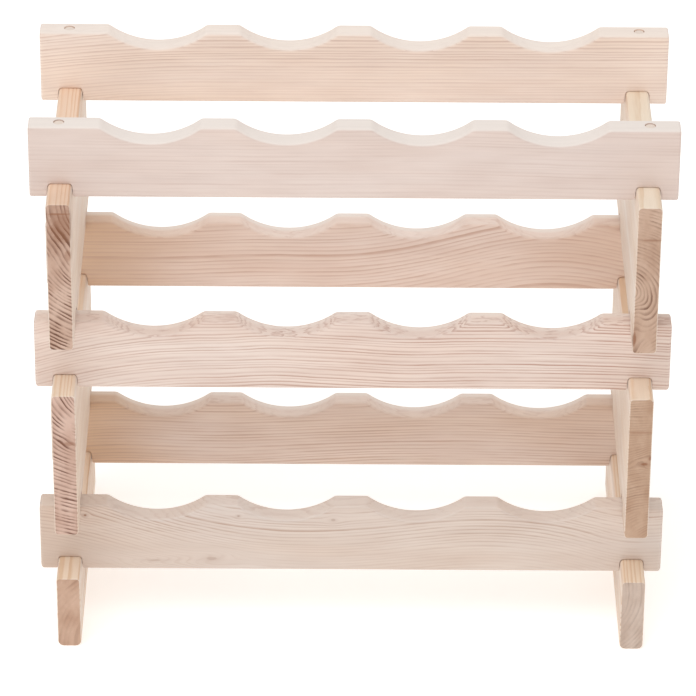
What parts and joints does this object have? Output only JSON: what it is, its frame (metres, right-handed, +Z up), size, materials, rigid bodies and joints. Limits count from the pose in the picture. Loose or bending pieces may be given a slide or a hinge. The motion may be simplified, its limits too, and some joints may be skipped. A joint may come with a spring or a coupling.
{
  "type": "wine rack",
  "caption": "Free-standing stacked pine wine rack: scalloped rails carry lying bottles between straight slotted side boards, pinned with dowels.",
  "frame": {"origin": "on the floor, at the middle of the rack's footprint", "axes": "+Z up, +X along the rails, front of the rack towards -Y"},
  "size_m": [0.48, 0.234, 0.4375],
  "materials": {
    "rail_pine": "unfinished planed pine",
    "board_pine": "unfinished planed pine with sawn ends",
    "dowel_wood": "unfinished turned hardwood"
  },
  "bodies": {
    "base": {"left_foot_board": "board_pine", "right_foot_board": "board_pine", "bottom_front_rail": "rail_pine", "bottom_back_rail": "rail_pine", "bottom_front_left_dowel": "dowel_wood", "bottom_front_right_dowel": "dowel_wood", "bottom_back_left_dowel": "dowel_wood", "bottom_back_right_dowel": "dowel_wood"},
    "middle_tier": {"lower_left_board": "board_pine", "lower_right_board": "board_pine", "middle_front_rail": "rail_pine", "middle_back_rail": "rail_pine", "middle_front_left_dowel": "dowel_wood", "middle_front_right_dowel": "dowel_wood", "middle_back_left_dowel": "dowel_wood", "middle_back_right_dowel": "dowel_wood"},
    "top_tier": {"upper_left_board": "board_pine", "upper_right_board": "board_pine", "top_front_rail": "rail_pine", "top_back_rail": "rail_pine", "top_front_left_dowel": "dowel_wood", "top_front_right_dowel": "dowel_wood", "top_back_left_dowel": "dowel_wood", "top_back_right_dowel": "dowel_wood"}
  },
  "joints": [
    {"name": "middle_lift", "type": "slide", "parent": "base", "child": "middle_tier", "axis": [0, 0, 1], "range_m": [0, 0.06]},
    {"name": "top_lift", "type": "slide", "parent": "middle_tier", "child": "top_tier", "axis": [0, 0, 1], "range_m": [0, 0.06]}
  ]
}
